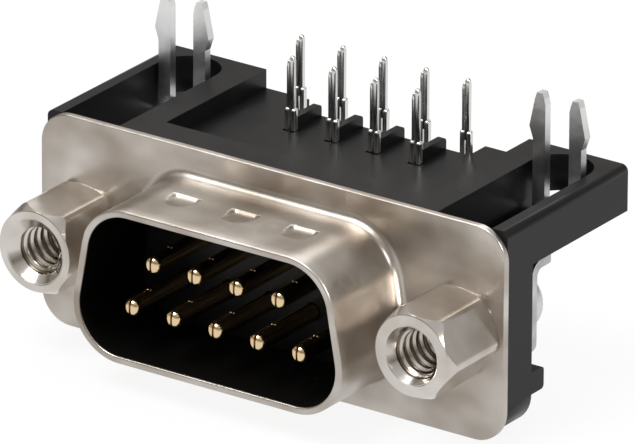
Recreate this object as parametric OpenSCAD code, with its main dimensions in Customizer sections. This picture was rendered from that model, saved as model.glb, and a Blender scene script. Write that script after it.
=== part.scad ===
// Right-angle 9-way D-subminiature plug for a circuit board: a drawn metal shell with nine
// round pins, a black moulded body, two hex jack standoffs and two forked board locks.
// X runs along the flange, Y runs backwards from the flange front, Z points to the board side.

/* [Shell] */
// length of the metal flange, along X
flange_length = 30.8; // [30:0.1:32]
// height of the metal flange, along Z
flange_height = 12.55; // [12:0.05:13]
// radius of the four flange corners
flange_corner_radius = 1.9; // [0.5:0.1:3]
// thickness of the shell sheet
sheet_thickness = 0.42; // [0.3:0.01:0.6]
// depth of the D shaped hood in front of the flange
hood_depth = 6.05; // [5:0.05:7]
// half width of the hood opening at the middle height
hood_half_width = 8.25; // [8:0.01:8.5]
// half height of the hood opening
hood_half_height = 4.12; // [4:0.01:4.4]
// inside radius of the hood corners
hood_corner_radius = 2.6; // [2:0.1:3]
// slope of the two hood sides from upright
hood_side_angle = 10; // [5:1:15]
// radius of the drawn bend between flange and hood
root_radius = 0.55; // [0.2:0.05:1]
// width of one wedge dimple
dimple_width = 1.65; // [1:0.05:2]
// length of one wedge dimple
dimple_length = 1.7; // [1:0.1:3]
// depth of one wedge dimple
dimple_depth = 0.28; // [0.1:0.02:0.4]
// distance between neighbouring dimples
dimple_pitch = 3.9; // [3:0.1:5]
// distance of the deep dimple end from the flange front
dimple_setback = 2.25; // [1:0.05:4]

/* [Standoffs] */
// distance between the two mounting holes
mounting_pitch = 24.99; // [24.9:0.01:25.1]
// hole in the flange for a standoff stud
flange_hole_diameter = 3.1; // [2.9:0.05:3.4]
// hex size across the flats
hex_across_flats = 4.76; // [4.5:0.02:5]
// length of a hex body in front of the flange
hex_length = 4.66; // [4:0.02:6]
// turn of the tightened hex from flat side up
hex_turn = 7; // [0:1:30]
// depth of the corner bevel at both hex ends
hex_bevel = 0.22; // [0.1:0.02:0.5]
// diameter of the round face left by the front bevel
hex_face_diameter = 4.62; // [4.4:0.02:4.8]
// diameter of the threaded hole at the thread roots
thread_diameter = 2.84; // [2.5:0.01:3.2]
// diameter of the plain hole below the thread crests
thread_minor_diameter = 2.36; // [2:0.02:2.6]
// depth of the threaded hole
thread_depth = 4.2; // [3:0.1:5]
// mouth diameter of the countersink, right standoff
countersink_right = 3.38; // [3:0.02:4]
// mouth diameter of the countersink, left standoff
countersink_left = 3.84; // [3:0.02:4.2]
// depth of the countersinks, left and right
countersink_depth = 0.45; // [0.2:0.05:1]
// diameter of the stud behind the hex
stud_diameter = 2.8; // [2.5:0.05:3]
// outside diameter of the threaded sleeve behind the body
sleeve_diameter = 3.7; // [3.2:0.05:4.5]
// distance of the sleeve end from the flange front
sleeve_end = 5.6; // [4.5:0.1:7]

/* [Body] */
// length of the moulded body, along X
body_length = 30.5; // [30:0.1:31]
// height of the arm faces that rest on the circuit board
board_height = 6.14; // [6:0.01:6.4]
// distance of the plate rear face from the flange front
plate_rear = 2.9; // [2.5:0.05:3.5]
// distance of the body rear edge from the flange front
body_rear = 12.13; // [11:0.01:13]
// distance of the front strip rear edge from the flange front
strip_rear = 2.55; // [2:0.05:3]
// half width of the middle shelf between the arms
shelf_half_width = 8.78; // [8.5:0.02:9.2]
// height of the middle shelf top
shelf_top = 5.02; // [4.8:0.02:5.4]
// height of the middle shelf underside
shelf_bottom = 4.0; // [3.6:0.05:4.4]
// height of the arm underside
arm_bottom = 3.44; // [3:0.02:4]
// distance of a slot inner side from the middle
slot_inner = 10.55; // [10.2:0.05:11]
// distance of a slot outer side from the middle
slot_outer = 14.25; // [14:0.05:14.6]
// distance of the slot rear end from the flange front
slot_rear = 11.6; // [11:0.05:12]
// half width of the notch for the rear tails
notch_half_width = 5.88; // [5.5:0.02:6.5]
// width of a separating rib between two rear tails
rib_width = 0.42; // [0.3:0.02:0.8]
// height of a separating rib above the shelf
rib_height = 0.7; // [0.4:0.05:1.1]
// distance of the insulator face in front of the flange front
insulator_reach = 0; // [0:0.1:2]
// height of the long rib on the plate rear face
ledge_height = 1.3; // [0.8:0.1:2]
// depth of the long rib on the plate rear face
ledge_depth = 1.2; // [0.8:0.1:2]

/* [Contacts] */
// diameter of a mating pin
pin_diameter = 1.0; // [0.9:0.01:1.1]
// distance between pins of one row
pin_pitch = 2.77; // [2.7:0.01:2.8]
// distance between the two pin rows
row_pitch = 2.84; // [2.8:0.01:2.9]
// distance of the pin nose in front of the flange front
pin_reach = 5.42; // [4.5:0.02:6]
// width of the seam slit in the rolled pin
seam_width = 0.09; // [0.04:0.01:0.15]
// depth of the seam slit in the rolled pin
seam_depth = 0.16; // [0.05:0.01:0.3]
// thickness of the contact strip
strip_thickness = 0.38; // [0.3:0.01:0.5]
// width of the lower part of a solder tail
tail_width = 0.6; // [0.5:0.01:0.8]
// width of the upper part of a solder tail
tail_tip_width = 0.42; // [0.3:0.01:0.6]
// distance of the front tail row face from the flange front
front_tail_face = 7.71; // [7:0.01:9]
// height where the solder tail steps in
tail_step_height = 6.32; // [6:0.02:7]
// height of the tail points above the middle
tail_tip_height = 9.4; // [8.5:0.05:10]

/* [Board locks] */
// thickness of the board lock sheet
lock_thickness = 0.52; // [0.4:0.02:0.8]
// distance of the fork front face from the flange front
fork_face = 9.25; // [8.5:0.05:10]
// height of the fork points above the middle
fork_tip_height = 10.4; // [9.5:0.05:11]
// height of the widest point of the barbs
barb_height = 8.35; // [8:0.05:9]
// width of one fork prong
prong_width = 0.8; // [0.6:0.02:1]
// clear gap between the two prongs
prong_gap = 1.56; // [1.2:0.02:2]
// how far a barb stands out from its prong
barb_reach = 0.24; // [0.1:0.02:0.4]
// height of the lower end of the lock plate
lock_plate_bottom = -2.15; // [-4:0.05:-1]

/* [Hidden] */
$fn = 48;
EPS = 0.05;
side_tan = tan(hood_side_angle);
side_cos = cos(hood_side_angle);
half_pitch = mounting_pitch / 2;
half_body = body_length / 2;
top_row_z = row_pitch / 2;
tail_spacing = row_pitch;
rear_tail_face = front_tail_face + tail_spacing;
hex_corner_diameter = hex_across_flats / cos(30);
plate_corner = 1.9;
arm_corner = 0.4;
bend_inner = 0.3;
pin_root = 2.2;
pin_root_side = 0.7;
root_half = pin_root_side / 2;
pin_step = 0.1;
pin_recess_diameter = 1.1;
pin_recess_depth = 0.3;
sheet_gap = 0.02;
root_sink = 0.005;
corner_swell = 0.002;
bulge_margin = 0.3;
hole_margin = 0.11;
rear_block_depth = 6.4;
rear_block_half_width = 8.2;
rear_block_bottom = -3.6;
rib_nose = 0.25;
rib_setback = 0.6;
ledge_top = -2.92;
ledge_round = 0.25;
tab_rear = 5.3;
tab_corner = 0.8;
lock_inner_x = 9.75;
lock_outer_x = 15.2;
lock_bend = 0.45;
barb_ramp = 0.7;
prong_point = 0.35;
fork_root = 0.3;
sleeve_collar_diameter = 4.1;
sleeve_collar = 0.45;
sleeve_bevel = 0.25;
hex_seat_diameter = 5.4;
thread_runout = 0.5;
stud_setback = 0.5;
tail_taper = 0.16;
tail_point_length = 0.5;
tail_point_width = 0.14;
groove_width = 0.1;

// ---------- flat outlines ----------

// centre of a hood corner circle; s is +1 for the board side, -1 for the other side
function corner_z(s) = s * (hood_half_height - hood_corner_radius);
function corner_x(s) = hood_half_width - hood_corner_radius / side_cos - corner_z(s) * side_tan;

// D outline grown by g from the hood opening
module d_outline(g) {
  r = hood_corner_radius + g;
  xt = corner_x(1);
  xb = corner_x(-1);
  zt = corner_z(1);
  zb = corner_z(-1);
  nx = r * side_cos;
  nz = r * sin(hood_side_angle);
  polygon([
    [-xt, zt + r], [xt, zt + r], [xt + nx, zt + nz], [xb + nx, zb + nz],
    [xb, zb - r], [-xb, zb - r], [-xb - nx, zb + nz], [-xt - nx, zt + nz]
  ]);
  for (s = [-1, 1]) {
    translate([s * xt, zt]) circle(r + corner_swell);
    translate([s * xb, zb]) circle(r + corner_swell);
  }
}

// rectangle with rounded corners, centred
module rounded_plate(w, h, r) {
  square([w - 2 * r, h], center = true);
  square([w, h - 2 * r], center = true);
  for (x = [-1, 1], z = [-1, 1]) translate([x * (w / 2 - r), z * (h / 2 - r)]) circle(r);
}

// stands an XZ outline up so that it runs from y0 to y1
module along_y(y0, y1) {
  translate([0, y1, 0]) rotate([90, 0, 0]) linear_extrude(y1 - y0) children();
}

// runs a YZ outline from x0 to x1
module along_x(x0, x1) {
  translate([x0, 0, 0]) rotate([90, 0, 90]) linear_extrude(x1 - x0) children();
}

module box(x0, x1, y0, y1, z0, z1) {
  translate([x0, y0, z0]) cube([x1 - x0, y1 - y0, z1 - z0]);
}

module rod_y(d, y0, y1) {
  translate([0, y1, 0]) rotate([90, 0, 0]) cylinder(d = d, h = y1 - y0);
}

// quarter bend of a strip of width w from x on, round the line y, z, starting at angle a
module strip_bend(x, y, z, a, r, t, w) {
  translate([x, y, z]) rotate([90, 0, 90]) rotate([0, 0, a])
    rotate_extrude(angle = 90) translate([r, 0]) square([t, w]);
}

module cone_y(d0, d1, y0, y1) {
  translate([0, y1, 0]) rotate([90, 0, 0]) cylinder(d1 = d1, d2 = d0, h = y1 - y0);
}

// ---------- front shell ----------

// concave quarter section of a drawn bend, first coordinate outwards, second forwards
module bend_section(r) {
  centre = r - root_sink;
  difference() {
    translate([-sheet_gap, -sheet_gap]) square(centre + sheet_gap);
    translate([centre, centre]) circle(r);
  }
}

// the bend along a straight stretch from point a to point b of the outer D outline
module bend_run(a, b) {
  d = b - a;
  n = norm(d);
  translate([a[0], 0, a[1]]) rotate([0, -atan2(d[1], d[0]), 0])
    rotate([90, 0, 90]) linear_extrude(n) rotate(90) bend_section(root_radius - root_sink);
}

// the bend round one outer corner of the hood
module bend_corner(s, side, a0, a1) {
  r = hood_corner_radius + sheet_thickness;
  translate([side * corner_x(s), 0, corner_z(s)]) rotate([90, 0, 0]) rotate([0, 0, a0])
    rotate_extrude(angle = a1 - a0) translate([r, 0]) bend_section(root_radius);
}

module drawn_bend() {
  r = hood_corner_radius + sheet_thickness;
  w = hood_side_angle;
  xt = corner_x(1);
  xb = corner_x(-1);
  zt = corner_z(1);
  zb = corner_z(-1);
  nx = r * side_cos;
  nz = r * sin(w);
  bend_corner(1, 1, w, 90);
  bend_corner(1, -1, 90, 180 - w);
  bend_corner(-1, -1, 180 - w, 270);
  bend_corner(-1, 1, 270, 360 + w);
  bend_run([-xt, zt + r], [xt, zt + r]);
  bend_run([xt + nx, zt + nz], [xb + nx, zb + nz]);
  bend_run([xb, zb - r], [-xb, zb - r]);
  bend_run([-xb - nx, zb + nz], [-xt - nx, zt + nz]);
}

// wedge shaped dimple: outer pocket and the bulge it pushes inwards
module wedge(depth, width, length) {
  intersection() {
    along_x(-width / 2, width / 2)
      polygon([[0, EPS], [0, -depth], [-length, 0], [-length, EPS]]);
    translate([0, 0, -depth - EPS]) linear_extrude(depth + 3 * EPS) {
      translate([-width / 2, -length + width / 2]) square([width, length - width / 2]);
      translate([0, -length + width / 2]) circle(width / 2);
    }
  }
}

module dimples(z, flip, bulge) {
  for (i = [-1:1]) translate([i * dimple_pitch, -dimple_setback, flip * z])
    mirror([0, 0, flip < 0 ? 1 : 0])
      if (bulge) translate([0, sheet_thickness / 2, -sheet_thickness])
        wedge(dimple_depth, dimple_width + bulge_margin, dimple_length + bulge_margin);
      else wedge(dimple_depth, dimple_width, dimple_length);
}

module front_shell() {
  color([0.74, 0.72, 0.69])
  difference() {
    union() {
      along_y(0, sheet_thickness)
        rounded_plate(flange_length, flange_height, flange_corner_radius);
      difference() {
        along_y(-hood_depth, sheet_thickness) d_outline(sheet_thickness);
        along_y(-hood_depth - 1, 1) d_outline(0);
      }
      drawn_bend();
      for (f = [-1, 1]) dimples(hood_half_height + sheet_thickness, f, true);
    }
    along_y(-sheet_gap, 1) d_outline(0);
    for (x = [-1, 1]) translate([x * half_pitch, 0, 0])
      rod_y(flange_hole_diameter, -1, 1);
    for (f = [-1, 1]) dimples(hood_half_height + sheet_thickness, f, false);
  }
}

// ---------- moulded body ----------

function top_pin_x(i) = (i - 1.5) * pin_pitch;
function low_pin_x(i) = (i - 2) * pin_pitch;

// room that a contact at height z takes in the body
module contact_room(z) {
  translate([0, 0, z]) {
    box(-root_half, root_half, -insulator_reach - 1, pin_root, -root_half, root_half);
    rod_y(pin_recess_diameter, -insulator_reach - 1, -insulator_reach + pin_recess_depth);
  }
  box(-tail_width / 2, tail_width / 2, pin_root - EPS, rear_block_depth + EPS,
      z - strip_thickness / 2, z + strip_thickness / 2);
}

module arm(side) {
  mirror([side < 0 ? 1 : 0, 0, 0]) {
    difference() {
      union() {
        box(shelf_half_width, slot_inner + EPS, sheet_thickness, body_rear,
            shelf_bottom, board_height);
        difference() {
          along_y(sheet_thickness, body_rear) {
            translate([slot_inner, arm_bottom])
              square([half_body - slot_inner, board_height - arm_bottom - arm_corner]);
            translate([slot_inner, arm_bottom])
              square([half_body - slot_inner - arm_corner, board_height - arm_bottom]);
            translate([half_body - arm_corner, board_height - arm_corner]) circle(arm_corner);
          }
          box(slot_inner - EPS, slot_outer, slot_rear - 2, body_rear + 1,
              arm_bottom - 1, shelf_bottom);
        }
      }
      // slot with a round rear end
      r = (slot_outer - slot_inner) / 2;
      box(slot_inner, slot_outer, -1, slot_rear - r, arm_bottom - 1, board_height + 1);
      translate([slot_inner + r, slot_rear - r, arm_bottom - 1])
        cylinder(r = r, h = board_height - arm_bottom + 2);
    }
  }
}

module ledge() {
  along_x(-half_body, half_body) {
    translate([plate_rear - EPS, ledge_top - ledge_height])
      square([ledge_depth + EPS - ledge_round, ledge_height]);
    translate([plate_rear - EPS, ledge_top - ledge_height + ledge_round])
      square([ledge_depth + EPS, ledge_height - 2 * ledge_round]);
    for (z = [ledge_top - ledge_round, ledge_top - ledge_height + ledge_round])
      translate([plate_rear + ledge_depth - ledge_round, z]) circle(ledge_round);
  }
}

module rib(x) {
  y0 = front_tail_face + rib_setback;
  y1 = rear_tail_face;
  top = shelf_top + rib_height;
  along_x(x - rib_width / 2, x + rib_width / 2) {
    polygon([[y0, shelf_top - EPS], [y1, shelf_top - EPS], [y1, top - rib_nose],
             [y1 - rib_nose, top - rib_nose], [y1 - rib_nose, top], [y0, top]]);
    translate([y1 - rib_nose, top - rib_nose]) circle(rib_nose);
  }
}

module body() {
  color([0.07, 0.07, 0.075])
  difference() {
    union() {
      // plate behind the flange, its top corners kept square for the arms
      difference() {
        union() {
          along_y(sheet_thickness, plate_rear)
            rounded_plate(body_length, 2 * board_height, plate_corner);
          box(-half_body, half_body, sheet_thickness, plate_rear, 0, arm_bottom + EPS);
        }
        box(-half_body - 1, half_body + 1, -1, plate_rear + 1, shelf_top, board_height + 1);
        for (s = [0, 1]) mirror([s, 0, 0])
          box(shelf_half_width, half_body + 1, -1, plate_rear + 1,
              arm_bottom, board_height + 1);
      }
      box(-shelf_half_width - EPS, shelf_half_width + EPS, sheet_thickness, strip_rear,
          shelf_bottom, board_height);
      // shelf with the notch for the rear tails
      difference() {
        box(-shelf_half_width - EPS, shelf_half_width + EPS, sheet_thickness, body_rear,
            shelf_bottom, shelf_top);
        box(-notch_half_width, notch_half_width, rear_tail_face, body_rear + 1,
            shelf_bottom - 1, shelf_top + 1);
      }
      for (s = [-1, 1]) arm(s);
      for (i = [0:3]) rib(top_pin_x(i));
      ledge();
      // insulator inside the hood and the block that guides the contacts
      along_y(-insulator_reach, sheet_thickness + EPS) d_outline(0);
      box(-rear_block_half_width, rear_block_half_width, plate_rear - EPS, rear_block_depth,
          rear_block_bottom, shelf_bottom + EPS);
    }
    for (i = [0:3]) translate([top_pin_x(i), 0, 0]) {
      contact_room(top_row_z);
      box(-tail_width / 2 - hole_margin, tail_width / 2 + hole_margin,
          front_tail_face - hole_margin, front_tail_face + strip_thickness + hole_margin,
          shelf_bottom - 1, shelf_top + 1);
    }
    for (i = [0:4]) translate([low_pin_x(i), 0, 0]) contact_room(-top_row_z);
    // holes for the threaded sleeves
    for (x = [-1, 1]) translate([x * half_pitch, 0, 0]) rod_y(sleeve_diameter, -1, plate_rear + 1);
  }
}

// ---------- contacts ----------

// solder tail outline, seen from the front, standing on z0
module tail_outline(z0) {
  w = tail_width / 2;
  t = tail_tip_width / 2;
  p = tail_point_width / 2;
  step = tail_step_height;
  upper = step + tail_taper;
  point = tail_tip_height - tail_point_length;
  polygon([[-w, z0], [w, z0], [w, step], [t, upper], [t, point], [p, tail_tip_height],
           [-p, tail_tip_height], [-t, point], [-t, upper], [-w, step]]);
}

module contact(x, z, face) {
  w = tail_width / 2;
  h = strip_thickness / 2;
  r = bend_inner;
  tail_start = z + h + r;
  nose_start = -pin_reach + pin_diameter / 2;
  translate([x, 0, 0])
  color([0.85, 0.65, 0.3])
  difference() {
    union() {
      translate([0, 0, z]) {
        rod_y(pin_diameter, nose_start, -insulator_reach - pin_step);
        box(-root_half, root_half, -insulator_reach - 2 * pin_step, pin_root,
            -root_half, root_half);
        translate([0, nose_start, 0]) rotate([90, 0, 0]) sphere(d = pin_diameter);
      }
      // strip through the body, up to the bend
      box(-w, w, pin_root - EPS, face - r, z - h, z + h);
      strip_bend(-w, face - r, tail_start, -90, r, strip_thickness, tail_width);
      along_y(face, face + strip_thickness) tail_outline(tail_start);
    }
    // seam slit of the rolled pin, over the top and across the nose
    translate([0, 0, z]) {
      box(-seam_width / 2, seam_width / 2, -pin_reach - 1, -pin_reach + seam_depth,
          -pin_diameter, pin_diameter);
      box(-seam_width / 2, seam_width / 2, -pin_reach - 1, -insulator_reach - pin_step,
          pin_diameter / 2 - seam_depth, pin_diameter);
    }
    // groove left by folding the tail
    box(-groove_width / 2, groove_width / 2, face - 1, face + groove_width,
        tail_start + groove_width, tail_tip_height + 1);
  }
}

module contact_1() { contact(low_pin_x(0), -top_row_z, rear_tail_face); }
module contact_2() { contact(low_pin_x(1), -top_row_z, rear_tail_face); }
module contact_3() { contact(low_pin_x(2), -top_row_z, rear_tail_face); }
module contact_4() { contact(low_pin_x(3), -top_row_z, rear_tail_face); }
module contact_5() { contact(low_pin_x(4), -top_row_z, rear_tail_face); }
module contact_6() { contact(top_pin_x(0), top_row_z, front_tail_face); }
module contact_7() { contact(top_pin_x(1), top_row_z, front_tail_face); }
module contact_8() { contact(top_pin_x(2), top_row_z, front_tail_face); }
module contact_9() { contact(top_pin_x(3), top_row_z, front_tail_face); }

// ---------- standoffs and sleeves ----------

// hex prism with a wide bevel at the front and a narrow one at the flange
module hex_body() {
  rise = 2 * (hex_corner_diameter - hex_face_diameter);
  run = 2 * hex_bevel;
  intersection() {
    rotate([0, hex_turn, 0]) rotate([90, 0, 0])
      cylinder(d = hex_corner_diameter, h = hex_length, $fn = 6);
    union() {
      cone_y(hex_face_diameter, hex_face_diameter + rise, -hex_length, run - hex_length);
      rod_y(hex_seat_diameter + rise, run - hex_length, -run);
      cone_y(hex_seat_diameter + rise, hex_seat_diameter, -run, 0);
    }
  }
}

module standoff(mouth) {
  difference() {
    union() {
      hex_body();
      rod_y(stud_diameter, -EPS, sleeve_end - stud_setback);
    }
    rod_y(thread_minor_diameter, -hex_length - 1, thread_depth - hex_length);
    rod_y(thread_diameter, -hex_length - 1, thread_depth - thread_runout - hex_length);
    cone_y(mouth, thread_diameter, -hex_length, countersink_depth - hex_length);
  }
}

module standoff_left() {
  color([0.7, 0.7, 0.68]) translate([-half_pitch, 0, 0]) standoff(countersink_left);
}
module standoff_right() {
  color([0.7, 0.7, 0.68]) translate([half_pitch, 0, 0]) standoff(countersink_right);
}

module sleeve() {
  difference() {
    union() {
      rod_y(sleeve_diameter, sheet_thickness, sleeve_end - sleeve_bevel);
      cone_y(sleeve_diameter, sleeve_diameter - 2 * sleeve_bevel,
             sleeve_end - sleeve_bevel, sleeve_end);
      rod_y(sleeve_collar_diameter, plate_rear + lock_thickness,
            plate_rear + lock_thickness + sleeve_collar);
    }
    rod_y(stud_diameter, -1, sleeve_end + 1);
  }
}

module sleeve_left() { color([0.6, 0.6, 0.58]) translate([-half_pitch, 0, 0]) sleeve(); }
module sleeve_right() { color([0.6, 0.6, 0.58]) translate([half_pitch, 0, 0]) sleeve(); }

// ---------- board locks ----------

// one prong outline, inner edge at x = 0, barb outwards
module prong_outline(z0) {
  w = prong_width;
  shoulder = fork_tip_height - prong_point;
  polygon([[0, z0], [w, z0], [w, barb_height - barb_ramp], [w + barb_reach, barb_height],
           [0.85 * w, shoulder], [0.7 * w, fork_tip_height], [0.25 * w, fork_tip_height],
           [0.1 * w, shoulder], [0, shoulder - prong_point]]);
}

module board_lock(side) {
  t = lock_thickness;
  top = arm_bottom;
  low = top - t;
  y0 = plate_rear;
  r = lock_bend;
  fy = fork_face;
  mid = half_pitch;
  fork_half = prong_gap / 2 + prong_width;
  mirror([side < 0 ? 1 : 0, 0, 0])
  difference() {
    union() {
      // plate against the rear of the body
      along_y(y0, y0 + t) {
        translate([lock_inner_x, lock_plate_bottom + tab_corner])
          square([lock_outer_x - lock_inner_x, low - r - lock_plate_bottom - tab_corner]);
        translate([lock_inner_x + tab_corner, lock_plate_bottom])
          square([lock_outer_x - lock_inner_x - 2 * tab_corner, tab_corner + EPS]);
        for (x = [lock_inner_x + tab_corner, lock_outer_x - tab_corner])
          translate([x, lock_plate_bottom + tab_corner]) circle(tab_corner);
      }
      // bend from the plate into the tab
      strip_bend(lock_inner_x, y0 + t + r, low - r, 90, r, t, lock_outer_x - lock_inner_x);
      // tab under the arm with rounded rear corners
      translate([0, 0, low]) linear_extrude(t) {
        translate([lock_inner_x, y0 + t + r])
          square([lock_outer_x - lock_inner_x, tab_rear - tab_corner - y0 - t - r]);
        translate([lock_inner_x + tab_corner, y0 + t + r])
          square([lock_outer_x - lock_inner_x - 2 * tab_corner, tab_rear - y0 - t - r]);
        for (x = [lock_inner_x + tab_corner, lock_outer_x - tab_corner])
          translate([x, tab_rear - tab_corner]) circle(tab_corner);
        translate([mid - fork_half, tab_rear - 1])
          square([2 * fork_half, fy - r - tab_rear + 1]);
      }
      // bend from the tab up into the fork
      strip_bend(mid - fork_half, fy - r, top + r, -90, r, t, 2 * fork_half);
      along_y(fy, fy + t) {
        for (m = [0, 1]) translate([mid, 0]) mirror([m, 0])
          translate([prong_gap / 2, 0]) prong_outline(top + r);
        translate([mid - fork_half, top + r]) square([2 * fork_half, fork_root]);
      }
    }
    translate([mid, 0, 0]) rod_y(sleeve_diameter, 0, sleeve_end + 1);
  }
}

module board_lock_left() { color([0.62, 0.62, 0.6]) board_lock(-1); }
module board_lock_right() { color([0.62, 0.62, 0.6]) board_lock(1); }

front_shell();
body();
standoff_left();
standoff_right();
sleeve_left();
sleeve_right();
board_lock_left();
board_lock_right();
contact_1();
contact_2();
contact_3();
contact_4();
contact_5();
contact_6();
contact_7();
contact_8();
contact_9();
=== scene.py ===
# %% [markdown]
# # A right-angle nine-way plug connector
# The object is a small board connector: a drawn metal shell, a black moulded body, nine contacts,
# two hex standoffs, two sleeves behind them and two forked board locks. The solids come from the
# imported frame, in metres. Sizes are written here in millimetres, because a maker thinks in them,
# and one factor turns them into metres.

# %% Load the frame
import math

import bmesh
import bpy
from mathutils import Matrix
from mathutils import Vector


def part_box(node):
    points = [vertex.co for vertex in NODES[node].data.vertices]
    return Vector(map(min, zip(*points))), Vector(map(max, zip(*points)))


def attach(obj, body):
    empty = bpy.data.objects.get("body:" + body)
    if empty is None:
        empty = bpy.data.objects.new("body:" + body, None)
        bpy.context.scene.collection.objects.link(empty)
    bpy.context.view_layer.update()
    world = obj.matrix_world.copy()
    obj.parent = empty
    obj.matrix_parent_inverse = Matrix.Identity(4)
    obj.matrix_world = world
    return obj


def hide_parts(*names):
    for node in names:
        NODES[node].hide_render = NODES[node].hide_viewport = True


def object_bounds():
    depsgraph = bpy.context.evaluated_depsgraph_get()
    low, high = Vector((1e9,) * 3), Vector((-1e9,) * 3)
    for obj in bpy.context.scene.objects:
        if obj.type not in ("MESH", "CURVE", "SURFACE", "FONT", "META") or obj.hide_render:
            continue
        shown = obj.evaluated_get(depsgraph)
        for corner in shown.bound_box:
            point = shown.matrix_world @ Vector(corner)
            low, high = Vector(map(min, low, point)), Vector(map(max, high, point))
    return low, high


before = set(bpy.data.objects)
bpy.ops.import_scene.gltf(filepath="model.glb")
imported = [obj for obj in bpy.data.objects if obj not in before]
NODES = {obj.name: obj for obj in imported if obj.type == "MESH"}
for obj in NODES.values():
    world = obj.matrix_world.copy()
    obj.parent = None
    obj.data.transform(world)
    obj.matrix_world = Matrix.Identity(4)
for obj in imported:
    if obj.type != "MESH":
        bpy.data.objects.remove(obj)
SOLID_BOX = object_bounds()
MM = 0.001
print("loaded", len(NODES), "solids, box", [tuple(round(c / MM, 2) for c in v) for v in SOLID_BOX])

# %% [markdown]
# The camera looks down on the front right corner from far away through a very long lens, so the
# lines of the object stay almost parallel. A short lens close by would make the near standoff look
# much larger than the far one. Lamps are placed by the same two angles as the camera, so the
# direction has a helper of its own.

# %% A direction from two angles
def aim(azimuth, elevation):
    a = math.radians(azimuth)
    e = math.radians(elevation)
    return Vector((math.sin(a) * math.cos(e), -math.cos(a) * math.cos(e), math.sin(e)))


print("azimuth 0 stands at", [round(c, 2) for c in aim(0, 0)])

# %% Camera
VIEW_AZIMUTH = 34.75
VIEW_ELEVATION = 22.6
VIEW_ROLL = 0.28
VIEW_DISTANCE = 682 * MM
CENTRE_RIGHT = 2.58 * MM
CENTRE_UP = 2.96 * MM

camera = bpy.data.objects.new("camera", bpy.data.cameras.new("camera"))
bpy.context.scene.collection.objects.link(camera)
roll = Matrix.Rotation(math.radians(VIEW_ROLL), 3, "Z")
turn = aim(VIEW_AZIMUTH, VIEW_ELEVATION).to_track_quat("Z", "Y").to_matrix() @ roll
camera.location = turn @ Vector((CENTRE_RIGHT, CENTRE_UP, VIEW_DISTANCE))
camera.rotation_euler = turn.to_euler()
camera.data.lens = 710
camera.data.sensor_width = 36
camera.data.clip_start = 0.01
camera.data.clip_end = 20
bpy.context.scene.camera = camera
print("camera at", [round(c, 3) for c in camera.location])

# %% [markdown]
# Every finish here is a small tree of nodes round one Principled shader. The trees share a few
# steps: a noise that gives a value for each place, a range that turns the value into a roughness,
# a ramp that turns it into a colour, and a bump. Writing the steps once keeps each finish to a few
# lines, and all of them work in the object's own space, so the grain stays on the metal.

# %% Start of a material
def new_material(name, color, metallic, roughness):
    material = bpy.data.materials.new(name)
    material.use_nodes = True
    tree = material.node_tree
    shader = tree.nodes["Principled BSDF"]
    shader.inputs["Base Color"].default_value = (*color, 1)
    shader.inputs["Metallic"].default_value = metallic
    shader.inputs["Roughness"].default_value = roughness
    return material, tree, shader


def node(tree, kind, **settings):
    made = tree.nodes.new(kind)
    for key, value in settings.items():
        setattr(made, key, value)
    return made


# %% Values that change from place to place
def noise(tree, scale, detail=3.0, stretch=(1, 1, 1)):
    place = node(tree, "ShaderNodeTexCoord")
    mapping = node(tree, "ShaderNodeMapping")
    mapping.inputs["Scale"].default_value = stretch
    texture = node(tree, "ShaderNodeTexNoise")
    texture.inputs["Scale"].default_value = scale
    texture.inputs["Detail"].default_value = detail
    tree.links.new(place.outputs["Object"], mapping.inputs["Vector"])
    tree.links.new(mapping.outputs["Vector"], texture.inputs["Vector"])
    return texture.outputs["Fac"]


def along(tree, axis, start_mm, end_mm):
    """A value that rises from 0 to 1 between two places on an axis."""
    place = node(tree, "ShaderNodeTexCoord")
    split = node(tree, "ShaderNodeSeparateXYZ")
    rise = node(tree, "ShaderNodeMapRange")
    rise.inputs["From Min"].default_value = start_mm * MM
    rise.inputs["From Max"].default_value = end_mm * MM
    tree.links.new(place.outputs["Object"], split.inputs["Vector"])
    tree.links.new(split.outputs[axis], rise.inputs["Value"])
    return rise.outputs["Result"]


# %% What a value drives: roughness, colour, bump
def ranged(tree, value, low, high):
    remap = node(tree, "ShaderNodeMapRange")
    remap.inputs["To Min"].default_value = low
    remap.inputs["To Max"].default_value = high
    tree.links.new(value, remap.inputs["Value"])
    return remap.outputs["Result"]


def tinted(tree, value, low, high):
    ramp = node(tree, "ShaderNodeValToRGB")
    stops = ramp.color_ramp.elements
    for stop, position, color in zip(stops, (0.3, 0.7), (low, high)):
        stop.position = position
        stop.color = (*color, 1)
    tree.links.new(value, ramp.inputs["Fac"])
    return ramp.outputs["Color"]


def bumped(tree, shader, value, depth_mm, strength):
    bump = node(tree, "ShaderNodeBump")
    bump.inputs["Strength"].default_value = strength
    bump.inputs["Distance"].default_value = depth_mm * MM
    tree.links.new(value, bump.inputs["Height"])
    tree.links.new(bump.outputs["Normal"], shader.inputs["Normal"])


# %% [markdown]
# The shell is thin steel with satin tin on it, warm grey, with a fine grain from the rolling of the
# sheet. A painted colour would look like plastic, so the metal is a full metallic shader, and a
# fine stretched noise drives both roughness and bump. Its colour drifts slowly between brown and
# pale grey
# in large clouds: a painted reflection of a blurred dark and light room.

# %% Satin tin on the drawn shell
FINISH = {}
satin, tree, shader = new_material("satin_tin", (0.46, 0.42, 0.38), 1.0, 0.3)
# painted reflection: slow brown clouds in the colour stand in for a blurred room mirrored in the
# tin
cloud = noise(tree, 210, 2.0, (1, 1, 1.4))
color = tinted(tree, cloud, (0.36, 0.31, 0.26), (0.68, 0.64, 0.595))
tree.links.new(color, shader.inputs["Base Color"])
grain = noise(tree, 5000, 3, (1, 1, 0.16))
tree.links.new(ranged(tree, grain, 0.24, 0.4), shader.inputs["Roughness"])
bumped(tree, shader, grain, 0.003, 0.5)
FINISH["front_shell"] = satin
print("finish", satin.name, "with", len(tree.nodes), "nodes")

# %% [markdown]
# The body is moulded in a black glass-filled plastic. It is not quite matt: broad faces catch a
# soft sheen. A low specular level keeps it black, and a fine bump gives the moulded skin.

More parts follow.
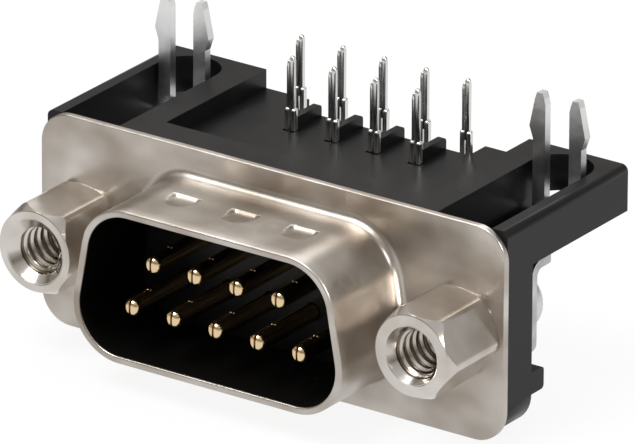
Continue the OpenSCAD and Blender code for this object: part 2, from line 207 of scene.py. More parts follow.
# %% Black moulded plastic
moulded, tree, shader = new_material("black_plastic", (0.006, 0.006, 0.0065), 0.0, 0.3)
shader.inputs["Specular IOR Level"].default_value = 0.22
tree.links.new(ranged(tree, noise(tree, 1200), 0.24, 0.38), shader.inputs["Roughness"])
bumped(tree, shader, noise(tree, 4000, 2), 0.003, 0.35)
FINISH["body"] = moulded
print("finish", moulded.name, "with", len(tree.nodes), "nodes")

# %% [markdown]
# The standoffs are turned from bar and nickel plated. They are brighter and smoother than the
# sheet, so the same steps are used with a lower roughness and a narrower change of colour.

# %% Bright nickel on the standoffs
nickel, tree, shader = new_material("bright_nickel", (0.55, 0.51, 0.46), 1.0, 0.18)
color = tinted(tree, noise(tree, 330, 2.0), (0.5, 0.45, 0.39), (0.74, 0.7, 0.66))
tree.links.new(color, shader.inputs["Base Color"])
tree.links.new(ranged(tree, noise(tree, 900), 0.14, 0.26), shader.inputs["Roughness"])
bumped(tree, shader, noise(tree, 3000, 2), 0.002, 0.4)
FINISH["standoff"] = nickel
print("finish", nickel.name, "with", len(tree.nodes), "nodes")

# %% [markdown]
# The board locks and the sleeves behind them are dipped in dull tin. The tips of the prongs are
# paler than the rest, so the height of a place takes part in its colour. A separate material for
# the tips would show a hard line where the two meet.

# %% A colour between two others
def blended(tree, share, first, second):
    mix = node(tree, "ShaderNodeMix", data_type="RGBA")
    for key, color in (("A", first), ("B", second)):
        if isinstance(color, tuple):
            mix.inputs[key].default_value = (*color, 1)
        else:
            tree.links.new(color, mix.inputs[key])
    tree.links.new(share, mix.inputs["Factor"])
    return mix.outputs["Result"]


# %% Dull tin on the sleeves and the board locks
PRONG_ROOT_Z = 6.6
PRONG_PALE_Z = 9.6

for kind in ("sleeve", "board_lock"):
    dipped, tree, shader = new_material("dull_tin", (0.42, 0.42, 0.42), 1.0, 0.38)
    cloud = tinted(tree, noise(tree, 500), (0.4, 0.4, 0.405), (0.74, 0.74, 0.74))
    rise = along(tree, "Z", PRONG_ROOT_Z, PRONG_PALE_Z)
    color = blended(tree, rise, cloud, (0.85, 0.85, 0.845))
    tree.links.new(color, shader.inputs["Base Color"])
    tree.links.new(ranged(tree, noise(tree, 1100), 0.24, 0.42), shader.inputs["Roughness"])
    bumped(tree, shader, noise(tree, 2000, 3), 0.02, 0.6)
    FINISH[kind] = dipped
    print("finish", dipped.name, "for each", kind)

# %% [markdown]
# A contact is plated twice: gold on the pin, where it mates, and tin on the tail, where it is
# soldered. The change lies just inside the insulator, so the length along the pin blends the two.

# %% Gold and tin on the contacts
GOLD_END_Y = 1.5
TIN_START_Y = 1.9

plated, tree, shader = new_material("gold_and_tin", (0.8, 0.6, 0.3), 1.0, 0.2)
change = along(tree, "Y", GOLD_END_Y, TIN_START_Y)
color = blended(tree, change, (0.86, 0.66, 0.4), (0.78, 0.78, 0.765))
tree.links.new(color, shader.inputs["Base Color"])
tree.links.new(ranged(tree, noise(tree, 1500), 0.12, 0.24), shader.inputs["Roughness"])
FINISH["contact"] = plated
print("finish", plated.name, "changes at", GOLD_END_Y, "to", TIN_START_Y, "mm")

# %% [markdown]
# One finish belongs to each kind of solid, and the kind is the name of the node without its number
# or side. Each solid gets its finish here, so nothing is left plain if no mesh replaces it later.

# %% One finish for each kind of solid
def kind_of(name):
    return name if name in FINISH else name.rsplit("_", 1)[0]


def dress(piece, finish):
    piece.data.materials.clear()
    piece.data.materials.append(finish)


for name, piece in NODES.items():
    dress(piece, FINISH[kind_of(name)])
print("dressed", len(NODES), "solids in", len(FINISH), "finishes")

# %% [markdown]
# A moulded edge is never sharp, and a stamped and tumbled strip is rounder still. A bevel modifier
# with a small width rounds every edge over thirty degrees. The solids of the body, locks and
# sleeves already have the right forms, so they stay, and only their edges are worked.

# %% Softened edges of the moulded and cut pieces
MOULDED_EDGE = 0.05
TUMBLED_EDGE = 0.16
EDGE_ANGLE = math.radians(30)


def soften(piece, width_mm):
    weld = piece.modifiers.new("weld", "WELD")
    weld.merge_threshold = 1e-7
    bevel = piece.modifiers.new("bevel", "BEVEL")
    bevel.width = width_mm * MM
    bevel.segments = 3
    bevel.limit_method = "ANGLE"
    bevel.angle_limit = EDGE_ANGLE
    bevel.harden_normals = True


soften(NODES["body"], MOULDED_EDGE)
for name in ("board_lock_left", "board_lock_right", "sleeve_left", "sleeve_right"):
    soften(NODES[name], TUMBLED_EDGE)
    print(name, "has edges of", TUMBLED_EDGE, "mm")

# %% [markdown]
# The shell, the standoffs and the contacts need finer meshes than their solids: a drawn bend, a
# screw thread, a rolled tube. Each is made from rings of points joined by faces, because a ring can
# follow a formula, such as a helix, which no cutting of solids does as cleanly. One helper turns
# points in millimetres into a piece that rides on the object and replaces its solid.

# %% Points and faces into a piece
WELD_DISTANCE = 1e-7


def make_piece(name, vertices, faces, finish, node_name, sharp):
    mesh = bpy.data.meshes.new(name)
    mesh.from_pydata([tuple(c * MM for c in v) for v in vertices], [], faces)
    work = bmesh.new()
    work.from_mesh(mesh)
    bmesh.ops.remove_doubles(work, verts=work.verts, dist=WELD_DISTANCE)
    bmesh.ops.recalc_face_normals(work, faces=work.faces)
    for face in work.faces:
        face.smooth = True
    for edge in work.edges:
        if edge.is_manifold and edge.calc_face_angle(0) > math.radians(sharp):
            edge.smooth = False
    work.to_mesh(mesh)
    work.free()
    piece = bpy.data.objects.new(name, mesh)
    bpy.context.scene.collection.objects.link(piece)
    weighted = piece.modifiers.new("weighted", "WEIGHTED_NORMAL")
    weighted.keep_sharp = True
    dress(piece, finish)
    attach(piece, "root")
    if node_name:
        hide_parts(node_name)
    print(name, "has", len(mesh.polygons), "faces")
    return piece


# %% Faces between rings
def grid_faces(rows, columns, start=0, closed=True):
    faces = []
    for i in range(rows - 1):
        for j in range(columns if closed else columns - 1):
            a = start + i * columns + j
            b = start + i * columns + (j + 1) % columns
            faces.append((a, b, b + columns, a + columns))
    return faces


def capped(rings, vertices, faces):
    """Joins the rings and closes both ends."""
    start = len(vertices)
    count = len(rings[0])
    last = start + (len(rings) - 1) * count
    for ring in rings:
        vertices.extend(ring)
    faces.extend(grid_faces(len(rings), count, start))
    faces.append(tuple(range(start, start + count)))
    faces.append(tuple(range(last, last + count)))


print("two rings of four points have", len(grid_faces(2, 4)), "faces between them")

# %% [markdown]
# A jack standoff is a length of hex bar, chamfered at both ends, drilled, tapped and countersunk in
# front, with a stud behind. The chamfer is turned, so it cuts only the six corners and leaves
# arcs on the flats. Here the outline is a radius for each angle: the flat's distance, held back at
# the corners, where the bar is a little worn.

# %% Outline of the hex bar
ACROSS_FLATS = 4.76
HEX_TURN = 7
CORNER_CUT = 0.08
FACE_RADIUS = 2.36
SEAT_RADIUS = 2.42
BEVEL_SLOPE = 1.9
SHARP_CORNER = ACROSS_FLATS / 2 / math.cos(math.radians(30))


def hex_radius(angle):
    from_flat = math.radians((math.degrees(angle) - HEX_TURN + 30) % 60 - 30)
    return min(ACROSS_FLATS / 2 / math.cos(from_flat), SHARP_CORNER - CORNER_CUT)


def bevel_depth(angle):
    return (hex_radius(angle) - FACE_RADIUS) * BEVEL_SLOPE


print("corner at", round(SHARP_CORNER - CORNER_CUT, 2), "mm from the axis")

# %% [markdown]
# The thread is a real helix. Along one pitch the radius goes from the crest through a slope to the
# groove and back. The rings climb with the helix, a pitch in a turn, so the crests run along the
# rings and stay clean. Level rings would cross the crests at a slant and make them ragged.
# Towards the mouth the cone of the countersink takes over, with a soft join.

# %% Thread in the standoff
THREAD_PITCH = 0.635
THREAD_MAJOR = 1.42
THREAD_MINOR = 1.14
CREST_SHARE = 0.24
SLOPE_SHARE = 0.6
SINK_DEPTH = 0.45
SOFT_JOIN = 0.09
LIP = 0.03
RING_STEP = THREAD_PITCH / 14


def thread_radius(phase):
    rise = abs((phase % 1.0) * 2 - 1)
    rise = min(max((rise - CREST_SHARE) / SLOPE_SHARE, 0), 1)
    return THREAD_MINOR + (THREAD_MAJOR - THREAD_MINOR) * rise


def cone_radius(mouth, depth):
    return mouth - (mouth - THREAD_MAJOR) * depth / SINK_DEPTH


def bore_radius(angle, y, mouth, depth):
    groove = thread_radius(y / THREAD_PITCH - angle / 2 / math.pi)
    cone = cone_radius(mouth, depth)
    near = max(SOFT_JOIN - abs(groove - cone), 0) / SOFT_JOIN
    return max(groove, cone) + near * near * SOFT_JOIN / 4


print("thread is", round(THREAD_MAJOR - THREAD_MINOR, 2), "mm deep")

# %% [markdown]
# The standoff's mesh is one stack of rings: from the bottom of the hole up the thread, over the
# face, along the hex, across the seat and down the stud. The faces deep in the thread's grooves get
# a
# darker material: painted shade for the shadow that falls in the grooves.

# %% Rings of one standoff
AROUND = 144
HOLE_DEPTH = 4.2
STUD_RADIUS = 1.4
STUD_END = 5.1
STUD_BEVEL = 0.1
CENTRE_RADIUS = 0.001


def standoff_rings(x0, front, mouth):
    angles = [2 * math.pi * j / AROUND for j in range(AROUND + 1)]
    bottom = front + HOLE_DEPTH
    rings = []

    def ring(radius_of, y_of):
        rings.append([(x0 + radius_of(a) * math.sin(a), y_of(a), radius_of(a) * math.cos(a))
                      for a in angles])

    def level(radius, y):
        ring(lambda a: radius, lambda a: y)

    def climb(a, start):
        return min(max(start + THREAD_PITCH * a / 2 / math.pi, front + LIP), bottom)

    level(CENTRE_RADIUS, bottom)
    level(THREAD_MINOR, bottom)
    start = bottom
    while start > front + LIP - THREAD_PITCH:
        ring(lambda a: bore_radius(a, climb(a, start), mouth, climb(a, start) - front),
             lambda a: climb(a, start))
        start -= RING_STEP
    level(mouth, front + LIP)
    level(mouth + 0.04, front)
    level(FACE_RADIUS - 0.05, front)
    level(FACE_RADIUS, front + 0.02)
    ring(hex_radius, lambda a: front + LIP + bevel_depth(a))
    ring(hex_radius, lambda a: front + 0.9)
    ring(hex_radius, lambda a: -0.7)
    ring(hex_radius, lambda a: -LIP - max(hex_radius(a) - SEAT_RADIUS, 0))
    ring(lambda a: min(SEAT_RADIUS, hex_radius(a) - 0.02), lambda a: 0.0)
    level(STUD_RADIUS, 0.0)
    level(STUD_RADIUS, STUD_END - STUD_BEVEL)
    level(STUD_RADIUS - STUD_BEVEL, STUD_END)
    level(CENTRE_RADIUS, STUD_END)
    return rings


print("hole is", HOLE_DEPTH, "mm deep, stud ends at", STUD_END, "mm")

# %% The two standoffs, with painted shade in the grooves of the thread
GROOVE_START = 0.15
# painted shade: a dark brown metal for the shadow deep in the grooves of the thread
GROOVE_PAINTED_SHADE = new_material("thread_groove_painted_shade", (0.19, 0.155, 0.12), 1.0, 0.26)[0]


# picks the faces deep in a groove, where the painted shade goes
def in_groove(out, depth, mouth):
    edge = max(THREAD_MINOR + GROOVE_START, cone_radius(mouth, depth) + 0.05)
    return depth < HOLE_DEPTH and edge < out < THREAD_MAJOR + 0.05


def standoff(name, node_name, mouth):
    low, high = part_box(node_name)
    x0 = (low.x + high.x) / 2 / MM
    front = low.y / MM
    rings = standoff_rings(x0, front, mouth)
    vertices = [v for ring in rings for v in ring]
    faces = grid_faces(len(rings), AROUND + 1, closed=False)
    piece = make_piece(name, vertices, faces, FINISH["standoff"], node_name, 15)
    piece.data.materials.append(GROOVE_PAINTED_SHADE)
    for face in piece.data.polygons:
        c = face.center / MM
        if in_groove(math.hypot(c.x - x0, c.z), c.y - front, mouth):
            face.material_index = 1


standoff("jack_left", "standoff_left", 1.92)
standoff("jack_right", "standoff_right", 1.69)

# %% [markdown]
# The shell is one sheet: a flat flange with two holes, and a D-shaped hood drawn out of it, with a
# round bend where they meet. The sloping sides make the plug fit one way round. The outline of the
# hood is written as points with the direction that faces out of each, so that the same outline,
# grown along those directions, gives the inside, the outside and the bend.

# %% Outline of the hood
HOOD_HALF_WIDTH = 8.25
HOOD_HALF_HEIGHT = 4.12
HOOD_RADIUS = 2.6
SIDE_SLOPE = math.radians(10)
CORNER_PARTS = 16
SIDE_PARTS = 12
LONG_PARTS = 96


def between(start, end, out, parts):
    return [(start[0] + (end[0] - start[0]) * i / parts, start[1] + (end[1] - start[1]) * i / parts,
             out[0], out[1]) for i in range(1, parts)]


def corner(x, z, start, end):
    points = []
    for i in range(CORNER_PARTS + 1):
        a = start + (end - start) * i / CORNER_PARTS
        points.append((x + HOOD_RADIUS * math.sin(a), z + HOOD_RADIUS * math.cos(a),
                       math.sin(a), math.cos(a)))
    return points


def hood_outline():
    z = HOOD_HALF_HEIGHT - HOOD_RADIUS
    middle = HOOD_HALF_WIDTH - HOOD_RADIUS / math.cos(SIDE_SLOPE)
    top = middle - z * math.tan(SIDE_SLOPE)
    low = middle + z * math.tan(SIDE_SLOPE)
    side = math.pi / 2 - SIDE_SLOPE
    corners = [corner(top, z, 0, side), corner(low, -z, side, math.pi),
               corner(-low, -z, math.pi, 2 * math.pi - side),
               corner(-top, z, 2 * math.pi - side, 2 * math.pi)]
    points = []
    for here, after, parts in zip(corners, corners[1:] + corners[:1],
                                  (SIDE_PARTS, LONG_PARTS, SIDE_PARTS, LONG_PARTS)):
        points += here + between(here[-1][:2], after[0][:2], here[-1][2:], parts)
    return points


print("outline of", len(hood_outline()), "points")

# %% [markdown]
# Wedge dimples are pressed in along both long sides. Each rises gently from a rounded toe and drops
# at a steep heel, and it grips the shell of the other half. A dimple is a push inwards that
# depends on where a point lies, so it needs no cutting, only enough points under it.

# %% Wedge dimple as a push at each point
DIMPLE_PITCH = 3.9
DIMPLE_HALF = 0.8
DIMPLE_LENGTH = 1.45
DIMPLE_DEPTH = 0.17
DIMPLE_HEEL_Y = -2.36
HEEL_LENGTH = 0.15
TOE_ROUND = 0.6


def smooth_step(t):
    t = min(max(t, 0), 1)
    return t * t * (3 - 2 * t)


def dimple_push(x, y):
    across = min(abs(x - i * DIMPLE_PITCH) for i in (-1, 0, 1)) / DIMPLE_HALF
    along_it = (y - DIMPLE_HEEL_Y + DIMPLE_LENGTH) / DIMPLE_LENGTH
    toe = TOE_ROUND * across ** 4
    if along_it < 1:
        slope = (along_it - toe) / (1 - toe)
    else:
        slope = 1 - (along_it - 1) * DIMPLE_LENGTH / HEEL_LENGTH
    return DIMPLE_DEPTH * min(max(slope, 0), 1) ** 0.8 * smooth_step((1.12 - across) / 0.28)


print("deepest push", round(dimple_push(0, DIMPLE_HEEL_Y), 2), "mm")

# %% Profile of the hood, inside, over the rim, outside and round the bend
SHEET = 0.42
HOOD_DEPTH = 6.05
ROOT_RADIUS = 0.55
BEND_PARTS = 8
RIM = ((0.0, 0.12), (0.015, 0.05), (0.05, 0.012), (0.12, 0.0), (0.3, 0.0), (0.37, 0.02),
       (0.41, 0.06), (SHEET, 0.13))
STRAIGHT_Y = -5.2
DIMPLE_ROWS = [-4.05 + 0.05 * i for i in range(40)]


def hood_profile():
    profile = [(0.0, SHEET), (0.0, -0.5)]
    profile += [(0.0, y) for y in reversed(DIMPLE_ROWS)]
    profile += [(0.0, STRAIGHT_Y)]
    profile += [(grow, back - HOOD_DEPTH) for grow, back in RIM]
    profile += [(SHEET, y) for y in [STRAIGHT_Y] + DIMPLE_ROWS + [-1.2, -ROOT_RADIUS]]
    for i in range(1, BEND_PARTS + 1):
        t = math.pi / 2 * i / BEND_PARTS
        profile.append((SHEET + ROOT_RADIUS * (1 - math.cos(t)), ROOT_RADIUS * (math.sin(t) - 1)))
    return profile


print("profile of", len(hood_profile()), "steps")

# %% [markdown]
# The flange is the plate between the outer edge, the hood's root and two holes. Its front and back
# are flat faces with holes in them, so they are filled with triangles between their loops. The
# outer edge is a stamped one: rolled over a little in front and almost square behind.

# %% Outlines of the flange
PLATE_HALF_LENGTH = 15.4
PLATE_HALF_HEIGHT = 6.275
PLATE_RADIUS = 1.9
PLATE_CORNER_PARTS = 12
PLATE_EDGE = ((0.09, 0.0), (0.045, 0.012), (0.012, 0.045), (0.0, 0.09), (0.0, SHEET - 0.06),
              (0.06, SHEET))
HOLE_PITCH = 24.99
HOLE_RADIUS = 1.55
HOLE_PARTS = 48


def plate_outline(inset):
    r = PLATE_RADIUS - inset
    points = []
    for k, (sx, sz) in enumerate(((1, 1), (1, -1), (-1, -1), (-1, 1))):
        for i in range(PLATE_CORNER_PARTS + 1):
            a = (k + i / PLATE_CORNER_PARTS) * math.pi / 2
            points.append((sx * (PLATE_HALF_LENGTH - PLATE_RADIUS) + r * math.sin(a),
                           sz * (PLATE_HALF_HEIGHT - PLATE_RADIUS) + r * math.cos(a)))
    return points


def hole_outline(side):
    angles = [2 * math.pi * i / HOLE_PARTS for i in range(HOLE_PARTS)]
    return [(side * HOLE_PITCH / 2 + HOLE_RADIUS * math.sin(a), HOLE_RADIUS * math.cos(a))
            for a in angles]


print("flange of", 2 * PLATE_HALF_LENGTH, "by", 2 * PLATE_HALF_HEIGHT, "mm")

# %% Flat faces between loops
def filled_faces(vertices, loops):
    work = bmesh.new()
    made = [work.verts.new(v) for v in vertices]
    index = {v: i for i, v in enumerate(made)}
    edges = []
    for loop in loops:
        for a, b in zip(loop, loop[1:] + loop[:1]):
            edges.append(work.edges.new((made[a], made[b])))
    filled = bmesh.ops.triangle_fill(work, use_beauty=True, use_dissolve=False, edges=edges)
    faces = [tuple(index[v] for v in item.verts) for item in filled["geom"]
             if isinstance(item, bmesh.types.BMFace)]
    work.free()
    return faces


square = [(0, 0, 0), (1, 0, 0), (1, 1, 0), (0, 1, 0)]
print("a square fills with", len(filled_faces(square, [[0, 1, 2, 3]])), "triangles")

# %% The whole shell
def front_shell():
    outline = hood_outline()
    profile = hood_profile()
    count = len(outline)
    vertices = []
    for grow, y in profile:
        for x, z, nx, nz in outline:
            push = dimple_push(x, y) if abs(nz) > 0.99 and grow <= SHEET else 0
            vertices.append((x + nx * grow, y, z + nz * (grow - push)))
    faces = grid_faces(len(profile), count)
    root = list(range((len(profile) - 1) * count, len(profile) * count))
    mouth = list(range(count))

    def add_loop(points, y):
        start = len(vertices)
        vertices.extend((x, y, z) for x, z in points)
        return list(range(start, start + len(points)))

    rims = [add_loop(plate_outline(inset), y) for inset, y in PLATE_EDGE]
    faces += grid_faces(len(rims), len(rims[0]), rims[0][0])
    holes = []
    for side in (-1, 1):
        holes.append([add_loop(hole_outline(side), y) for y in (0.0, SHEET)])
        faces += grid_faces(2, HOLE_PARTS, holes[-1][0][0])
    faces += filled_faces(vertices, [root, rims[0], holes[0][0], holes[1][0]])
    faces += filled_faces(vertices, [mouth, rims[-1], holes[0][1], holes[1][1]])
    return make_piece("drawn_shell", vertices, faces, FINISH["front_shell"], "front_shell", 38)


shell = front_shell()

# %% [markdown]
# The inside of the hood is deep, and the black insulator fills its floor, so little light comes
# back out. Bright plating there would mirror the white room and look like a lit box. The inner wall
# gets painted shade, a near-black metal of its own, which stops just behind the rim, so the rim
# stays bright.

# %% Painted shade on the inner wall
# painted shade: near-black metal on the inner wall of the hood, standing in for its shadow
INNER_WALL_PAINTED_SHADE = new_material("shaded_inner_wall", (0.02, 0.019, 0.018), 1.0, 0.5)[0]
shell.data.materials.append(INNER_WALL_PAINTED_SHADE)
shaded = 0
for face in shell.data.polygons:
    c = face.center / MM
    inward = face.normal.x * c.x + face.normal.z * c.z < 0
    in_hood = abs(c.x) < 9 and abs(c.z) < 4.3 and -HOOD_DEPTH + 0.1 < c.y < -0.01
    if inward and in_hood:
        face.material_index = 1
        shaded += 1
print("shaded", shaded, "faces of the inner wall")

# %% [markdown]
# Each contact is stamped from strip. The front is rolled into a round pin, whose two edges meet in
# a seam along the top, with a small raised dot on each side of it. The pin is built as two half
# tubes with the seam between them, because a seam that is only painted on catches no light.

# %% Rolled pin
PIN_RADIUS = 0.5
PIN_NOSE_Y = -5.42
PIN_END_Y = 1.2
PIN_ARC = 12
SEAM_HALF = 0.065
SEAM_ROUND = 0.03
PIN_STATIONS = ((0.16, 0.0), (0.26, 0.025), (0.35, 0.075), (0.43, 0.15), (0.48, 0.26), (0.5, 0.4),
                (PIN_RADIUS, 0.6), (PIN_RADIUS, PIN_END_Y - PIN_NOSE_Y))
DOT_X = 0.11
DOT_BACK = 1.86
DOT_RADIUS = 0.075
DOT_LEVELS = ((0.25, -0.97), (0.7, -0.7), (1.0, 0.0), (0.7, 0.7), (0.25, 0.97))


def half_pin(side, z):
    """One half of the rolled tube, beside the seam, as rings of (x, y, z)."""
    rings = []
    for radius, back in PIN_STATIONS:
        y = PIN_NOSE_Y + back
        wall = min(SEAM_HALF, radius * 0.4)
        edge = wall + SEAM_ROUND * radius
        ring = [(side * wall, y, z - radius * 0.9), (side * wall, y, z + radius * 0.9)]
        for i in range(PIN_ARC + 1):
            a = math.pi / 2 - math.pi * i / PIN_ARC
            ring.append((side * (edge + (radius - edge) * math.cos(a)), y,
                         z + radius * math.sin(a)))
        rings.append(ring)
    return rings


def dot(side, z):
    """A small raised dot on top of the pin."""
    rings = []
    for share, height in DOT_LEVELS:
        rings.append([(side * DOT_X + DOT_RADIUS * share * math.cos(math.pi * i / 4),
                       PIN_NOSE_Y + DOT_BACK + DOT_RADIUS * share * math.sin(math.pi * i / 4),
                       z + DOT_RADIUS * height) for i in range(8)])
    return rings


print("pin sticks out", -PIN_NOSE_Y, "mm")

# %% [markdown]
# The tail that goes through the board is the same strip folded on itself: two legs up to the
# shoulders, where the tail rests on the board, and above them a narrow closed fold. Each part is a
# rounded bar that tapers at its end, since a stamped and folded end is never a square cut.

# %% Folded tail
STRIP = 0.42
LEG_HALF = 0.1475
LEG_GAP_HALF = 0.055
LEG_START_Z = 3.0
SHOULDER_Z = 6.32
TIP_Z = 9.4
LEG_END = ((1, 1, -0.12), (0.92, 0.92, -0.05), (0.7, 0.7, 0.0), (0.3, 0.3, 0.02))
FOLD_END = ((1, 1, -0.35), (0.93, 0.85, -0.16), (0.7, 0.6, -0.05), (0.35, 0.3, 0.0))
FOLDS = ((-0.17, 0.03, 0.1, 0.7, TIP_Z - 0.3), (0.08, 0.0, 0.16, 0.9, TIP_Z))


def rounded_bar(x, y, half_x, half_y, z, parts=4):
    """A rounded rectangle round (x, y) at the height z."""
    r = min(half_x, half_y) * 0.75
    ring = []
    for k, (sx, sy) in enumerate(((1, 1), (-1, 1), (-1, -1), (1, -1))):
        for i in range(parts + 1):
            a = (k + i / parts) * math.pi / 2
            ring.append((x + sx * (half_x - r) + r * math.cos(a),
                         y + sy * (half_y - r) + r * math.sin(a), z))
    return ring


def tapered_bar(x, y, half_x, half_y, start, top, end):
    levels = [(1, 1, start)] + [(sx, sy, top + up) for sx, sy, up in end]
    return [rounded_bar(x, y, half_x * sx, half_y * sy, z) for sx, sy, z in levels]


def tail(face_y):
    y = face_y + STRIP / 2
    bars = [tapered_bar(side * (LEG_GAP_HALF + LEG_HALF), y, LEG_HALF, STRIP / 2,
                        LEG_START_Z, SHOULDER_Z, LEG_END) for side in (-1, 1)]
    for x, dy, half_x, share, top in FOLDS:
        bars.append(tapered_bar(x, y + dy, half_x, STRIP / 2 * share,
                                SHOULDER_Z - 0.5, top, FOLD_END))
    return bars


print("tail rises", round(TIP_Z - SHOULDER_Z, 2), "mm over its shoulders")

# %% One contact, then all nine
PIN_PITCH = 2.77
ROW_Z = 1.42
FRONT_TAIL_Y = 7.71
REAR_TAIL_Y = 10.55
STRIP_HALF_X = 0.3
STRIP_HALF_Z = 0.19


def contact(number, x, z, face_y):
    w = STRIP_HALF_X
    h = STRIP_HALF_Z
    back_y = face_y + STRIP
    level_strip = [[(w, y, z + h), (-w, y, z + h), (-w, y, z - h), (w, y, z - h)]
                   for y in (PIN_END_Y - 0.1, back_y)]
    upright_strip = [[(w, back_y, up), (-w, back_y, up), (-w, face_y, up), (w, face_y, up)]
                     for up in (z - h, LEG_START_Z + 0.2)]
    vertices = []
    faces = []
    for side in (-1, 1):
        capped(half_pin(side, z), vertices, faces)
        capped(dot(side, z + PIN_RADIUS - 0.01), vertices, faces)
    for bar in [level_strip, upright_strip] + tail(face_y):
        capped(bar, vertices, faces)
    moved = [(vx + x, vy, vz) for vx, vy, vz in vertices]
    make_piece("contact_way_%d" % number, moved, faces, FINISH["contact"],
               "contact_%d" % number, 35)


for i in range(5):
    contact(i + 1, (i - 2) * PIN_PITCH, -ROW_Z, REAR_TAIL_Y)
for i in range(4):
    contact(i + 6, (i - 1.5) * PIN_PITCH, ROW_Z, FRONT_TAIL_Y)

# %% [markdown]
# Each arm of the body has a slot over a pocket, where the board lock and the end of the standoff's
# stud lie. The pocket has a floor with a low hump over the stud, and its inner wall runs down
# beside it. One section is swept back in a few steps, so the hump can fade out towards the rear.

# %% Pocket floors under the slots
POCKET_X = 12.4
POCKET_OUTER = 14.1
POCKET_LOW_Z = 2.8
POCKET_TOP_Z = 3.0
HUMP_HALF = 1.7
HUMP_PARTS = 16
WALL_INNER = 9.1
WALL_OUTER = 10.5
WALL_TOP_Z = 4.6
POCKET_STATIONS = ((2.6, 0.35), (5.6, 0.35), (6.0, 0.2), (6.3, 0.0), (10.3, 0.0))


def pocket_section(lift):
    section = [(POCKET_OUTER, POCKET_LOW_Z), (WALL_INNER, POCKET_LOW_Z), (WALL_INNER, WALL_TOP_Z),
               (WALL_OUTER, WALL_TOP_Z), (WALL_OUTER, POCKET_TOP_Z)]
    for i in range(HUMP_PARTS + 1):
        share = 2 * i / HUMP_PARTS - 1
        section.append((POCKET_X + HUMP_HALF * share,
                        POCKET_TOP_Z + lift * math.sqrt(1 - share * share)))
    section.append((POCKET_OUTER, POCKET_TOP_Z))
    return section


def pocket_floor(name, side):
    vertices = []
    faces = []
    capped([[(side * x, y, z) for x, z in pocket_section(lift)] for y, lift in POCKET_STATIONS],
           vertices, faces)
    piece = make_piece(name, vertices, faces, FINISH["body"], None, 50)


pocket_floor("pocket_floor_left", -1)
pocket_floor("pocket_floor_right", 1)

# %% [markdown]
# A mould leaves small round marks where its pins push the part out. One shows as a dark dot on the
# shelf. It is a very low dot of its own, since a cut in the solid would be far too small.

# %% Ejector mark on the shelf
MARK_X = 7.43
MARK_Y = 9.93
SHELF_Z = 5.02
MARK_LEVELS = ((0.16, -0.05), (0.16, 0.006), (0.096, 0.012))
MARK_PARTS = 16

deep, tree, shader = new_material("deep_mark", (0.002, 0.002, 0.002), 0.0, 0.9)
shader.inputs["Specular IOR Level"].default_value = 0.05
mark_angles = [2 * math.pi * i / MARK_PARTS for i in range(MARK_PARTS)]
vertices = []
faces = []
capped([[(MARK_X + r * math.cos(a), MARK_Y + r * math.sin(a), SHELF_Z + up) for a in mark_angles]
        for r, up in MARK_LEVELS], vertices, faces)
make_piece("ejector_mark", vertices, faces, deep, None, 60)

# %% [markdown]
# Metal shows what stands round it more than its own colour, so the room matters more than the
# lamps. Three soft lamps are low, so that pale plating never burns out, and they stand where a
# small table studio has them: high in front on the left, at the right, and behind.

# %% Soft lamps
LAMP_DISTANCE = 0.4


def area_light(name, azimuth, elevation, size, energy):
    data = bpy.data.lights.new(name, "AREA")
    data.shape = "RECTANGLE"
    data.size = size
    data.size_y = size
    data.energy = energy
    light = bpy.data.objects.new(name, data)
    bpy.context.scene.collection.objects.link(light)
    direction = aim(azimuth, elevation)
    light.location = direction * LAMP_DISTANCE
    light.rotation_euler = direction.to_track_quat("Z", "Y").to_euler()
    print(name, "lamp at", [round(c, 2) for c in light.location])


area_light("key", -25, 62, 0.22, 1.5)
area_light("right", 95, 30, 0.12, 0.7)
area_light("rear", 215, 50, 0.25, 0.35)

# %% [markdown]
# The floor is a pale sheet that the object casts a soft shadow on. It glows only for the camera and
# for mirror rays, so that it is white in the view and in the metal but lights nothing. A small
# share of its plain shader stays in, which keeps the shadow.

# %% Floor
FLOOR_HALF = 2.0
GLOW_SHARE = 0.9
MIRROR_GLOW = 0.82
FLOOR_Z = SOLID_BOX[0].z

mesh = bpy.data.meshes.new("floor")
mesh.from_pydata([(x * FLOOR_HALF, y * FLOOR_HALF, FLOOR_Z)
                  for x, y in ((-1, -1), (1, -1), (1, 1), (-1, 1))], [], [(0, 1, 2, 3)])
floor = bpy.data.objects.new("floor", mesh)
bpy.context.scene.collection.objects.link(floor)
print("floor at", round(FLOOR_Z / MM, 2), "mm")

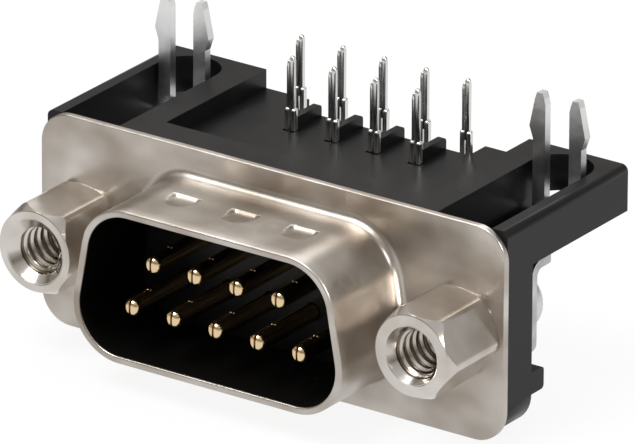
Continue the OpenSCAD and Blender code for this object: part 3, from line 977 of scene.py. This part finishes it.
# %% Glow of the floor
pale, tree, shader = new_material("pale_floor", (0.8, 0.8, 0.8), 0.0, 0.8)
path = node(tree, "ShaderNodeLightPath")
seen = node(tree, "ShaderNodeMath", operation="MAXIMUM")
share = node(tree, "ShaderNodeMath", operation="MULTIPLY")
glow = node(tree, "ShaderNodeEmission")
mix = node(tree, "ShaderNodeMixShader")
share.inputs[1].default_value = GLOW_SHARE
strength = ranged(tree, path.outputs["Is Camera Ray"], MIRROR_GLOW, 1.0)
tree.links.new(path.outputs["Is Camera Ray"], seen.inputs[0])
tree.links.new(path.outputs["Is Glossy Ray"], seen.inputs[1])
tree.links.new(seen.outputs[0], share.inputs[0])
tree.links.new(strength, glow.inputs["Strength"])
tree.links.new(share.outputs[0], mix.inputs["Fac"])
tree.links.new(shader.outputs["BSDF"], mix.inputs[1])
tree.links.new(glow.outputs["Emission"], mix.inputs[2])
tree.links.new(mix.outputs["Shader"], tree.nodes["Material Output"].inputs["Surface"])
dress(floor, pale)
print("floor glows", MIRROR_GLOW, "in mirrors and 1.0 in the view")

# %% [markdown]
# The room is a set of tones from the horizon to the ceiling: pale, then dark about twenty degrees
# up, then pale again. The bent sheet mirrors it as soft dark and light fields. An even room would
# leave the metal flat and grey.

# %% Room
ROOM_STRENGTH = 0.9
TONES = ((0.0, (0.56, 0.55, 0.55)), (0.14, (0.5, 0.48, 0.46)), (0.36, (0.13, 0.11, 0.09)),
         (0.5, (0.52, 0.49, 0.45)), (0.8, (0.62, 0.62, 0.62)))

world = bpy.data.worlds.new("studio")
bpy.context.scene.world = world
world.use_nodes = True
tree = world.node_tree
background = tree.nodes["Background"]
place = node(tree, "ShaderNodeTexCoord")
split = node(tree, "ShaderNodeSeparateXYZ")
ramp = node(tree, "ShaderNodeValToRGB")
while len(ramp.color_ramp.elements) < len(TONES):
    ramp.color_ramp.elements.new(0.5)
for stop, (position, color) in zip(ramp.color_ramp.elements, TONES):
    stop.position = position
    stop.color = (*color, 1)
tree.links.new(place.outputs["Generated"], split.inputs["Vector"])
tree.links.new(split.outputs["Z"], ramp.inputs["Fac"])
tree.links.new(ramp.outputs["Color"], background.inputs["Color"])
background.inputs["Strength"].default_value = ROOM_STRENGTH
bpy.context.scene.view_settings.view_transform = "Standard"
print("room with", len(TONES), "tones")
